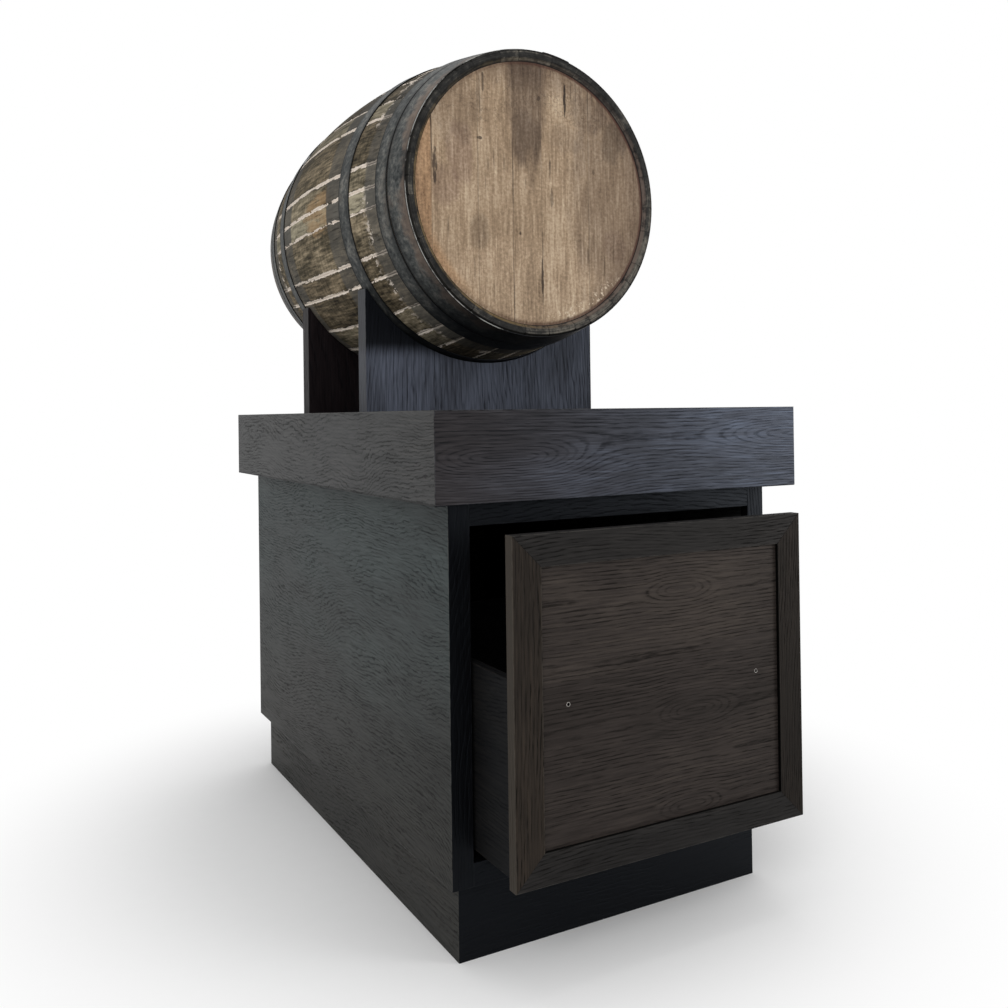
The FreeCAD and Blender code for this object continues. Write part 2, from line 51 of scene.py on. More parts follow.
# Barrel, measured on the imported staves; angles run from the top towards +X
staves_low, staves_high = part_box("barrel_staves")
bilge_radius = staves_high.x
axis_z = staves_low.z + bilge_radius
barrel_front, barrel_back = staves_low.y, staves_high.y
barrel_middle = (barrel_front + barrel_back) / 2
half_length = (barrel_back - barrel_front) / 2
stave_thickness = 0.022
chime_lip = 0.008
croze_width = 0.006
croze_depth = 0.005
joint_merge_degrees = 0.5
joint_depth = 0.0018
joint_reach = 0.0032
joint_shares = (0.0, 0.35, 0.7)
arris_depth = 0.0014
arris_reach = 0.004
arris_shares = (0.0, 0.3, 0.65, 1.0)
stave_sink = 0.0006
weather_depth = 0.0005
weather_counts = (9, 40, 50)
ring_step = 0.018
column_step = 0.011
inside_columns = 6
inside_steps = 12
bore_segments = 96
stave_layers = ("along", "edge", "tone", "seam")

# Weathering of the staves. Bands and starts are distances from the nearer end, joint lines from the joint
band_waver = 0.022
old_bilge_band, old_bilge_soft = (0.250, 0.322), 0.004
old_quarter_band, old_quarter_soft = (0.096, 0.146), 0.006
crust_band, crust_soft = (0.138, 0.160), 0.012
streak_seed, streak_strengths = 11, (0.55, 1.0)
streak_width = 0.0076
streak_least = 0.001
streak_rag = 0.009
streak_soft = (-0.0004, 0.0008)
streak_start = (0.07, 0.09)
stave_joint_line = (0.0003, 0.0016)
stave_end_line = (0.012, 0.02)
chime_joint_line = (0.0004, 0.0016)
bevel_start = (0.0006, 0.003)
bleached_side = (-0.1, 0.15)
brown_stave, grey_stave = (1.06, 0.94, 0.8, 1.0), (0.9, 0.98, 0.95, 1.0)
tan_patch, tan_reach = (0.075, 1.32), (0.13, 0.075)

# Painted shade above and below the barrel's axis, darkening its top and underside: heights where it
# starts and is full, in shares of the radius, and its strength
stave_painted_shade = ((0.0, 0.8, 0.62), (0.68, 0.92, 0.5))
hoop_painted_shade = ((0.5, 1.0, 0.7), (0.3, 0.9, 0.88))

# Depth of the finest relief in each finish
stave_relief = 0.0014
chime_relief = 0.001
head_relief = 0.0009
hoop_relief = 0.0008
pore_relief = 0.0005
smooth_relief = 0.0001

# Eased edges
ease_segments = 2
board_ease = 0.0009
metal_ease = 0.0004
seam_ease = 0.0003
weld_distance = 0.00001
sharp_angle = math.radians(35)
flat_angle = math.radians(0.3)
board_flat_angle = math.radians(1)
facing_share = 0.999

# Stained oak: (dark, middle, light, worn edge, also used for painted highlights) of each stain, in screen
# values
cabinet_stain = ((34, 34, 34), (50, 50, 50), (66, 65, 64), (88, 87, 84))
counter_stain = ((30, 29, 31), (52, 52, 57), (74, 77, 86), (78, 79, 84))
cradle_stain = ((40, 41, 46), (66, 69, 78), (90, 95, 108), (84, 85, 88))
# A darker copy of the cradle's stain for the rear board: painted shade from the barrel over it
shaded_rear_cradle_stain = ((16, 12, 13), (24, 19, 20), (34, 28, 29), (60, 58, 58))
# A near-black copy of the cabinet's stain: painted shade on the plinth front and the face frame round the
# open drawer
painted_shade_stain = ((3, 3, 4), (5, 5, 6), (9, 9, 10), (24, 25, 27))
carcass_stain = ((6, 6, 6), (10, 10, 9), (16, 15, 14), (30, 28, 26))
panel_stain = ((30, 26, 24), (42, 37, 35), (56, 50, 46), (172, 168, 162))
stile_stain = ((22, 18, 15), (34, 29, 25), (48, 41, 35), (66, 61, 55))
far_stile_stain = ((15, 11, 9), (23, 19, 16), (33, 27, 23), (58, 54, 49))
rail_stain = ((18, 17, 17), (28, 27, 27), (40, 38, 37), (64, 62, 59))
box_stain = ((9, 8, 8), (16, 15, 14), (26, 24, 22), (44, 40, 36))

# Figure of the veneer: distance between its rings, and how many noise waves lie in a metre along and across
# the fibres
side_pitch, front_pitch, apron_pitch, cradle_pitch = 0.0075, 0.0055, 0.0042, 0.011
side_swirl, front_swirl = (2.4, 4.0), (1.1, 4.0)
side_dash, drawer_dash = (24.0, 300.0), (36.0, 420.0)

# Eyes in the figure: middle (along, up), half length, half height
panel_eyes = (((0.031, 0.591), 0.085, 0.019), ((0.057, 0.389), 0.1, 0.023), ((0.048, 0.234), 0.085, 0.019))
apron_eyes = (((-0.25, 0.815), 0.3, 0.06), ((0.42, 0.84), 0.3, 0.03))
eye_blend = 0.04
panel_leaf_joint = 0.47
leaf_shift = 3.1

# Lacquer: tint and level of its reflection
side_sheen = (0.95, 1.0, 1.0, 1.0)
front_sheen = (0.70, 0.82, 1.0, 1.0)
drawer_sheen = (1.0, 0.94, 0.86, 1.0)
counter_gloss, apron_gloss, side_gloss, cradle_gloss = 0.14, 0.12, 0.09, 0.06
drawer_gloss, dull_gloss = 0.08, 0.1
drawer_roughness, dull_roughness = 0.55, 0.65

# Painted shade and sheen over a board: axis, start, end, colour at the start (shade) and at the end (sheen)
side_cast = ("Z", 0.35, 0.92, (0.66, 0.64, 0.58, 1.0), (1.02, 1.3, 1.31, 1.0))
far_side_cast = ("Z", 0.35, 0.92, (0.66, 0.64, 0.6, 1.0), (1.15, 1.2, 1.2, 1.0))
apron_cast = ("X", -0.2, 0.55, (0.58, 0.47, 0.38, 1.0), (1.45, 1.6, 1.75, 1.0))

# Shade on the cradle beside the barrel: heights where it starts and is full, light left in it, and its fade
# to the left
cradle_shade = (1.0, 1.036, 0.06)
shade_fade = 0.12

# Wear with painted highlights, handle holes, and painted shadow lines along edges
wear_and_highlight_reach = 0.0022
hole_radius, chip_radius, chip_rag = 0.0027, 0.0038, 0.0016
panel_margin = 0.02
shadow_gap = 0.0012
side_shadow_line, front_shadow_line = 0.005, 0.002

# Barrel head: stains as (across, up) shares of its radius, their reaches, kind and strength
head_radius = 0.261
seam_area = 0.0005
seam_inset = 0.0002
seam_line = (0.0006, 0.0022)
head_tones = {"grey": (0.64, 0.63, 0.65, 1.0), "dark": (0.12, 0.11, 0.12, 1.0),
              "plum": (0.6, 0.54, 0.6, 1.0), "pale": (1.2, 1.22, 1.25, 1.0), "rim": (0.5, 0.46, 0.47, 1.0)}
small_mark = 0.05
head_stains = (
    ((0.0, -0.72), (0.75, 0.35), "pale", 0.8),
    ((0.80, 0.10), (0.45, 1.05), "grey", 0.85), ((-0.08, 0.78), (0.17, 0.62), "grey", 0.9),
    ((0.0, 1.0), (0.75, 0.22), "grey", 0.6), ((-0.70, 0.62), (0.22, 0.30), "grey", 0.55),
    ((-0.64, 0.24), (0.11, 0.22), "plum", 0.5), ((-0.76, 0.0), (0.10, 0.14), "plum", 0.45),
    ((-0.85, 0.13), (0.018, 0.12), "dark", 0.85), ((-0.48, 0.37), (0.028, 0.011), "dark", 0.8),
    ((0.265, 0.76), (0.012, 0.13), "dark", 1.0), ((0.49, 0.66), (0.17, 0.14), "grey", 0.6),
    ((0.73, 0.47), (0.13, 0.16), "dark", 0.4), ((0.25, 0.45), (0.17, 0.11), "grey", 0.45),
    ((0.047, -0.66), (0.010, 0.15), "dark", 0.9), ((-0.49, -0.33), (0.09, 0.13), "dark", 0.3),
    ((-0.09, 0.40), (0.14, 0.20), "grey", 0.6), ((0.72, -0.35), (0.10, 0.12), "plum", 0.35),
    ((-0.45, 0.78), (0.009, 0.08), "dark", 0.7), ((0.03, 0.73), (0.014, 0.02), "dark", 0.6),
    ((0.53, 0.22), (0.014, 0.02), "dark", 0.5), ((-0.14, -0.31), (0.012, 0.014), "dark", 0.8),
    ((0.125, 0.2), (0.009, 0.09), "dark", 0.6), ((0.14, -0.02), (0.013, 0.07), "dark", 0.5),
    ((0.16, 0.09), (0.08, 0.014), "pale", 1.0), ((0.0, 0.04), (0.09, 0.01), "pale", 0.8),
)
head_seam_lines = (0.9, 0.35, 0.8, 0.6, 0.4)
head_dark_board, head_dark_soft = (-0.2, 0.05, 0.5), 0.004

# Hoops: dark rims, and a painted highlight along the outer edge of the front head hoop
hoop_rim = (0.001, 0.004)
highlight_edge = (0.0004, 0.0009)
highlight_side = (0.0, 0.1)
hoop_rust = {"head_hoop": 0.8, "quarter_hoop": 0.25, "bilge_hoop": 0.2}
rivet_rust = 0.5

# Camera: the photograph's frame, in pixels, and the fitted view
image_size = 1008
focal_pixels = 994.88
centre_u, centre_v = 499.35, 408.16
camera_place = Vector((-1.0201, -1.978, 0.8819))
camera_yaw, camera_pitch, camera_roll = 0.5034, 0.0065, -0.0130
sensor_width = 36.0

# Floor: paper that is white from far on
floor_half = 12
floor_near, floor_far = 0.5, 1.2

# Studio light: the room's level, then each lamp's name, place, target, diameter and power
room_light = 0.5
seen_rays = ("Is Camera Ray", "Is Glossy Ray", "Is Transmission Ray")
lamps = (
    ("key", (-2.6, -3.4, 2.8), (0.0, 0.0, 0.8), 2.6, 85.0),
    ("fill", (2.9, -2.9, 1.0), (0.0, 0.0, 0.8), 1.7, 60.0),
    ("top", (0.0, 0.3, 4.6), (0.0, 0.0, 0.0), 3.0, 65.0),
)


def seed_of(name):
    return zlib.crc32(name.encode())


def linear(red, green, blue):
    """A colour written in screen values, 0 to 255, as the linear colour that shaders take."""
    parts = []
    for value in (red, green, blue):
        share = value / 255
        parts.append(share / 12.92 if share <= 0.04045 else ((share + 0.055) / 1.055) ** 2.4)
    return (*parts, 1.0)


def dimmed(colour, share):
    return tuple(part * share for part in colour[:3]) + (1.0,)


near_black = linear(2, 2, 2)
white = linear(255, 255, 255)


class Shader:
    """One material's nodes: each call adds a node and gives its output."""

    def __init__(self, name):
        self.material = bpy.data.materials.new(name)
        self.material.use_nodes = True
        self.tree = self.material.node_tree
        self.surface = self.tree.nodes["Principled BSDF"]

    def put(self, socket, value):
        if isinstance(value, bpy.types.NodeSocket):
            self.tree.links.new(value, socket)
        else:
            socket.default_value = value

    def add(self, kind, values, output=0, **settings):
        node = self.tree.nodes.new("ShaderNode" + kind)
        for key, value in settings.items():
            setattr(node, key, value)
        for key, value in values.items():
            self.put(node.inputs[key], value)
        return node.outputs[output]

    def place(self):
        """The point on the piece, in the frame of the solids."""
        return self.add("TexCoord", {}, output="Object")

    def attribute(self, name):
        return self.add("Attribute", {}, output="Fac", attribute_name=name)

    def split(self, vector):
        node = self.add("SeparateXYZ", {0: vector}).node
        return node.outputs[0], node.outputs[1], node.outputs[2]

    def join(self, x, y, z):
        return self.add("CombineXYZ", {0: x, 1: y, 2: z})

    def math(self, operation, *values):
        return self.add("Math", dict(enumerate(values)), operation=operation)

    def sum(self, *values):
        total = values[0]
        for value in values[1:]:
            total = self.math("ADD", total, value)
        return total

    def times(self, *values):
        total = values[0]
        for value in values[1:]:
            total = self.math("MULTIPLY", total, value)
        return total

    def minus(self, first, second):
        return self.math("SUBTRACT", first, second)

    def apart(self, first, second):
        return self.math("ABSOLUTE", self.minus(first, second))

    def invert(self, value):
        return self.minus(1.0, value)

    def noise(self, vector, detail=3.0, roughness=0.55, scale=1.0):
        values = {"Vector": vector, "Scale": scale, "Detail": detail, "Roughness": roughness}
        return self.add("TexNoise", values)

    def smooth(self, value, low, high):
        """0 below low, 1 above high, and a soft step between them."""
        values = {"Value": value, "From Min": low, "From Max": high}
        return self.add("MapRange", values, interpolation_type="SMOOTHSTEP")

    def between(self, value, low, high, soft):
        """1 from low to high, fading out over soft on both sides."""
        rise = self.smooth(value, low - soft, low + soft)
        fall = self.smooth(value, high - soft, high + soft)
        return self.minus(rise, fall)

    def spot(self, first, second, centre, reach):
        """1 at a centre in two directions, fading to 0 at an ellipse of the given reaches."""
        squares = []
        for value, middle, size in zip((first, second), centre, reach):
            share = self.times(self.minus(value, middle), 1 / size)
            squares.append(self.times(share, share))
        return self.invert(self.smooth(self.sum(*squares), 0.0, 1.0))

    def mix(self, share, first, second, blend="MIX"):
        values = {0: share, 6: first, 7: second}
        return self.add("Mix", values, output=2, data_type="RGBA", blend_type=blend)

    def ramp(self, share, *stops):
        node = self.add("ValToRGB", {0: share}).node
        elements = node.color_ramp.elements
        while len(elements) < len(stops):
            elements.new(0.5)
        for element, (position, colour) in zip(elements, stops):
            element.position = position
            element.color = colour
        return node.outputs[0]

    def bump(self, height, distance, strength=1.0):
        values = {"Height": height, "Distance": distance, "Strength": strength}
        self.put(self.surface.inputs["Normal"], self.add("Bump", values))

    def finish(self, colour, roughness, specular=0.5, metallic=0.0):
        self.put(self.surface.inputs["Base Color"], colour)
        self.put(self.surface.inputs["Roughness"], roughness)
        self.put(self.surface.inputs["Specular IOR Level"], specular)
        self.put(self.surface.inputs["Metallic"], metallic)
        return self.material


def add_mesh(name, bm):
    """An object of the given mesh, in the scene."""
    mesh = bpy.data.meshes.new(name)
    bm.to_mesh(mesh)
    bm.free()
    piece = bpy.data.objects.new(name, mesh)
    bpy.context.scene.collection.objects.link(piece)
    return piece


def dress(piece, *materials):
    for material in materials:
        piece.data.materials.append(material)


def dress_node(name, material):
    for slot in nodes[name].material_slots:
        slot.material = material


def ease(name, width):
    """Rounds a solid's sharp edges, as a sanded board's or a rolled sheet's are."""
    piece = nodes[name]
    weld = piece.modifiers.new("weld", "WELD")
    weld.merge_threshold = weld_distance
    flatten = piece.modifiers.new("flatten", "DECIMATE")
    flatten.decimate_type = "DISSOLVE"
    flatten.angle_limit = flat_angle
    bevel = piece.modifiers.new("ease", "BEVEL")
    bevel.width = width
    bevel.segments = ease_segments
    bevel.limit_method = "ANGLE"
    bevel.angle_limit = sharp_angle
    normals = piece.modifiers.new("normals", "WEIGHTED_NORMAL")
    normals.keep_sharp = False


# Stained oak of the cabinet and the drawer
def edge_wear_and_highlight(s, name, place, reach):
    """1 along the edges of a box-shaped board, 0 past reach from them."""
    low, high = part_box(name)
    gaps = []
    for value, start, end in zip(s.split(place), low, high):
        off_centre = s.apart(value, (start + end) / 2)
        gaps.append(s.minus((end - start) / 2, off_centre))
    lesser = s.math("MINIMUM", gaps[0], gaps[1])
    greater = s.math("MAXIMUM", gaps[0], gaps[1])
    middle = s.math("MAXIMUM", lesser, s.math("MINIMUM", greater, gaps[2]))
    return s.invert(s.smooth(middle, 0.0, reach))


def eye_rings(s, along, up, eyes):
    """Distance from the middle of the nearest eye in the figure; lines of even distance close round it."""
    nearest = None
    for centre, reach, depth in eyes:
        beside = s.smooth(s.apart(along, centre[0]), 0.0, reach)
        rise = s.minus(up, centre[1])
        distance = s.math("POWER", s.sum(s.times(rise, rise), s.times(beside, beside, depth * depth)), 0.5)
        nearest = s.math("SMOOTH_MIN", nearest, distance, eye_blend) if nearest else distance
    return nearest


def oak_painted_light(s, colour, parts, clouds, shade, cast):
    """The painted shade beside the barrel, and the painted shade and sheen that run over a board, where it
    has them.
    """
    if shade:
        start, end, least = shade
        left = s.smooth(s.times(parts["X"], -1.0), 0.0, shade_fade)
        dim = s.times(s.smooth(parts["Z"], start, end), left, 1 - least)
        colour = s.mix(dim, colour, near_black)
    if cast:
        axis, start, end, first_cast, second_cast = cast
        share = s.smooth(s.sum(parts[axis], s.times(clouds, 0.4)), start, end)
        colour = s.mix(1.0, colour, s.mix(share, first_cast, second_cast), "MULTIPLY")
    return colour


def oak_marks(s, colour, name, place, parts, worn, pale_lines, holes, dark_lines):
    """Worn edges with painted highlights, painted highlight lines, chipped holes and painted shadow lines,
    in that order.
    """
    # Edge wear, partly a painted highlight along the arrises
    wear_and_highlight = s.times(edge_wear_and_highlight(s, name, place, wear_and_highlight_reach), s.smooth(s.noise(place, scale=60.0), 0.35, 0.6))
    colour = s.mix(s.times(wear_and_highlight, 0.6), colour, worn)
    for axis, at, reach in pale_lines:
        gap = s.apart(parts[axis], at)
        colour = s.mix(s.times(s.invert(s.smooth(gap, reach * 0.5, reach)), 0.6), colour, worn)
    for hole in holes:
        flat = s.join(parts["X"], hole.y, parts["Z"])
        gap = s.add("VectorMath", {0: flat, 1: hole}, output="Value", operation="DISTANCE")
        ragged = s.sum(gap, s.times(s.noise(place, 2.0, 0.5, 500.0), chip_rag))
        colour = s.mix(s.invert(s.smooth(ragged, chip_radius, chip_radius * 1.2)), colour, worn)
        colour = s.mix(s.invert(s.smooth(gap, hole_radius, hole_radius * 1.1)), colour, near_black)
    for axis, at, reach in dark_lines:
        gap = s.apart(parts[axis], at)
        waver = s.minus(s.noise(place, 3.0, 0.6, 160.0), 0.5)
        ragged = s.sum(gap, s.times(waver, reach))
        colour = s.mix(s.invert(s.smooth(ragged, reach * 0.5, reach)), colour, near_black)
    return colour


def stained_oak(name, grain, stain, curl=1.0, contrast=0.5, roughness=0.45, specular=counter_gloss,
                sheen=front_sheen, pitch=side_pitch, swirl=front_swirl, dash=side_dash, eyes=(),
                leaf_joint=None, holes=(), dark_lines=(), pale_lines=(), shade=None, cast=None):
    """Flat-cut oak with its fibres along one axis, stained dark and lacquered."""
    s = Shader(name + "_oak")
    dark, middle, light, worn = [linear(*colour) for colour in stain]
    place = s.place()
    parts = dict(zip("XYZ", s.split(place)))
    along = parts[grain]
    first, second = [value for axis, value in parts.items() if axis != grain]
    pick = random.Random(seed_of(name))
    shift = [pick.uniform(-5, 5) for _ in range(3)]
    run = along
    if leaf_joint:
        leaf = s.math("GREATER_THAN", second, leaf_joint)
        run = s.sum(along, s.times(leaf, leaf_shift))

    def stretched(along_scale, cross_scale, detail):
        values = (s.times(run, along_scale), s.times(first, cross_scale), s.times(second, cross_scale))
        return s.noise(s.join(*[s.sum(value, offset) for value, offset in zip(values, shift)]), detail)

    hills, waves = (4.0, 1.0) if eyes else (26.0, 2.4)
    base = eye_rings(s, along, second, eyes) if eyes else s.sum(first, second)
    level = s.sum(s.times(base, 1 / pitch), s.times(stretched(*swirl, 1.0), hills),
                  s.times(stretched(8.0, 26.0, 2.0), waves), s.times(stretched(45.0, 110.0, 2.0), curl))
    rings = s.invert(s.smooth(s.math("PINGPONG", level, 0.5), 0.03, 0.28))
    dashes = s.smooth(stretched(*dash, 2.0), 0.38, 0.62)
    patches = s.smooth(stretched(5.0, 20.0, 3.0), 0.3, 0.62)
    if eyes:
        patches = s.sum(s.times(patches, 0.4), 0.45)
    lines = s.sum(s.times(rings, 0.75), s.times(dashes, 0.25))
    pores = s.times(lines, s.sum(s.times(dashes, 0.6), 0.4), s.sum(patches, 0.25))
    clouds = stretched(2.4, 8.0, 3.0)
    fibres = stretched(12.0, 300.0, 3.0)
    tone = s.sum(s.times(clouds, 0.9), s.times(fibres, 1.0), -0.45)
    if leaf_joint:
        tone = s.sum(tone, s.times(leaf, 0.1))
    colour = s.ramp(tone, (0.2, dark), (0.5, middle), (0.85, light))
    colour = s.mix(s.times(pores, contrast), colour, dimmed(dark, 0.25))
    # Painted shade beside the barrel, then painted shade and sheen over the board
    colour = oak_painted_light(s, colour, parts, clouds, shade, cast)
    colour = oak_marks(s, colour, name, place, parts, worn, pale_lines, holes, dark_lines)
    rough = s.sum(s.times(clouds, 0.14), s.times(pores, 0.2), roughness - 0.07)
    s.bump(s.minus(s.times(fibres, 0.15), pores), pore_relief, 0.7)
    s.surface.inputs["Specular Tint"].default_value = sheen
    return s.finish(colour, rough, specular)


# Barrel wood
def barrel_height(s, z):
    """Height above the barrel's axis, in shares of its radius."""
    return s.times(s.minus(z, axis_z), 1 / bilge_radius)


def painted_height_shade(s, z, above, below):
    """Share of painted shade on the barrel above and below its axis, darkening its top and underside."""
    height = barrel_height(s, z)
    top = s.times(s.smooth(height, above[0], above[1]), above[2])
    bottom = s.times(s.smooth(s.times(height, -1.0), below[0], below[1]), below[2])
    return s.sum(top, bottom)


def end_distance(s):
    """Distance from the nearer end of the barrel, along the staves."""
    past_middle = s.apart(s.attribute("along"), half_length)
    return s.minus(half_length, past_middle)


def radial(point):
    """(distance from the barrel's axis, angle past the top) of a point."""
    x, z = point.x, point.z - axis_z
    return math.hypot(x, z), math.atan2(x, z)


def joint_angles():
    """Angles of the joints between staves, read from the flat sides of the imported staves."""
    found = set()
    for face in nodes["barrel_staves"].data.polygons:
        _, angle = radial(face.center)
        across = Vector((math.cos(angle), 0, -math.sin(angle)))
        if abs(face.normal.dot(across)) > facing_share:
            found.add(round(math.degrees(angle), 1))
    ordered = sorted(found)
    return [math.radians(a) for a in ordered if not any(0 < a - b < joint_merge_degrees for b in ordered)]


end_ring = [radial(vertex.co)[0] for vertex in nodes["barrel_staves"].data.vertices
            if vertex.co.y - barrel_front < weld_distance]
end_radius, chime_inner = max(end_ring), min(end_ring)
stave_bow = bilge_radius - end_radius
stave_arc = (half_length ** 2 + stave_bow ** 2) / (2 * stave_bow)


def stave_radius(along, depth=0.0):
    """Radius of the bowed staves, along from the middle and depth below their face."""
    return bilge_radius - stave_arc + math.sqrt((stave_arc - depth) ** 2 - along ** 2)


def barrel_point(along, radius, angle):
    return Vector((radius * math.sin(angle), barrel_middle + along, axis_z + radius * math.cos(angle)))


def fade(distance, reach):
    """1 at no distance, falling smoothly to 0 at reach."""
    share = min(max(distance / reach, 0.0), 1.0)
    return 1 - share * share * (3 - 2 * share)


def stave_stations():
    """Places along the stave: close together at its worn ends, then evenly spaced."""
    count = round(half_length / ring_step)
    ends = [arris_reach * share for share in arris_shares]
    steps = [arris_reach + (half_length - arris_reach) * i / count for i in range(1, count + 1)]
    front = [distance - half_length for distance in ends + steps]
    return front + [-along for along in reversed(front[:-1])]


def inner_profile():
    """(along, radius) of a stave's inner side: chime bevel, croze groove and the bowed inside."""
    lip = half_length - chime_lip
    groove = lip - croze_width
    lip_radius = stave_radius(lip, stave_thickness)
    points = [(half_length, chime_inner), (lip, lip_radius), (lip, lip_radius + croze_depth),
              (groove, lip_radius + croze_depth), (groove, stave_radius(groove, stave_thickness))]
    front = [(-along, radius) for along, radius in points]
    inside = [groove * (2 * i / inside_steps - 1) for i in range(1, inside_steps)]
    return front + [(along, stave_radius(along, stave_thickness)) for along in inside] + points[::-1]


def build_stave(bm, layers, span, seams, pick):
    """Adds one stave between two joint angles, with eased joints and a weathered face."""
    start, end = span
    width = (end - start) * bilge_radius
    tone, sink = pick.random(), pick.uniform(0, stave_sink)
    inner_steps = max(2, round((width - 2 * joint_reach) / column_step))
    edge = [joint_reach * share for share in joint_shares]
    middle = [joint_reach + (width - 2 * joint_reach) * i / inner_steps for i in range(inner_steps + 1)]
    columns = edge + middle + [width - d for d in reversed(edge)]

    def vertex(along, radius, distance):
        made = bm.verts.new(barrel_point(along, radius, start + (end - start) * distance / width))
        seam = seams[0] if distance < width / 2 else seams[1]
        values = (along + half_length, min(distance, width - distance), tone, seam)
        for layer, value in zip(layers, values):
            made[layer] = value
        return made

    def face_radius(along, distance):
        joint = joint_depth * fade(min(distance, width - distance), joint_reach)
        low = joint + arris_depth * fade(half_length - abs(along), arris_reach)
        place = Vector([value * count for value, count in zip((along, distance, tone), weather_counts)])
        return stave_radius(along) - sink - low - weather_depth * (0.5 + 0.5 * noise.noise(place))

    outer = [[vertex(a, face_radius(a, d), d) for d in columns] for a in stave_stations()]
    inner_columns = [width * i / inside_columns for i in range(inside_columns + 1)]
    inner = [[vertex(a, r, d) for d in inner_columns] for a, r in inner_profile()]
    for near, far in zip(outer, outer[1:]):
        for i in range(len(near) - 1):
            bm.faces.new((near[i], near[i + 1], far[i + 1], far[i])).smooth = True
    bare = []
    for near, far in zip(inner, inner[1:]):
        for i in range(inside_columns):
            bare.append(bm.faces.new((near[i], far[i], far[i + 1], near[i + 1])))
    for side in (0, -1):
        bare.append(bm.faces.new([row[side] for row in outer] + [row[side] for row in reversed(inner)]))
    for tip in (0, -1):
        bare.append(bm.faces.new(outer[tip] + inner[tip][::-1]))
    for face in bare:
        face.material_index = 1


def stave_mesh(name, spans, seams):
    """One mesh of the staves between the given joints, each a closed board."""
    bm = bmesh.new()
    for key in stave_layers:
        bm.verts.layers.float.new(key)
    layers = [bm.verts.layers.float[key] for key in stave_layers]
    pick = random.Random(seed_of(name))
    for span, seam in zip(spans, seams):
        build_stave(bm, layers, span, seam, pick)
    bmesh.ops.recalc_face_normals(bm, faces=bm.faces)
    return add_mesh(name, bm)


def bore(piece, radius, low, high):
    """Cuts an upright hole at the middle of the barrel's top."""
    bm = bmesh.new()
    centre = Matrix.Translation((0, barrel_middle, (low + high) / 2))
    bmesh.ops.create_cone(bm, cap_ends=True, segments=bore_segments, radius1=radius, radius2=radius,
                          depth=high - low, matrix=centre)
    cutter = add_mesh("bung_bore", bm)
    cut = piece.modifiers.new("bore", "BOOLEAN")
    cut.object = cutter
    cut.solver = "EXACT"
    bpy.context.view_layer.update()
    bored = piece.evaluated_get(bpy.context.evaluated_depsgraph_get())
    solid = bpy.data.meshes.new_from_object(bored)
    bm = bmesh.new()
    bm.from_mesh(solid)
    bmesh.ops.dissolve_degenerate(bm, dist=weld_distance, edges=bm.edges)
    bm.to_mesh(solid)
    bm.free()
    piece.modifiers.clear()
    piece.data = solid
    bpy.data.objects.remove(cutter)


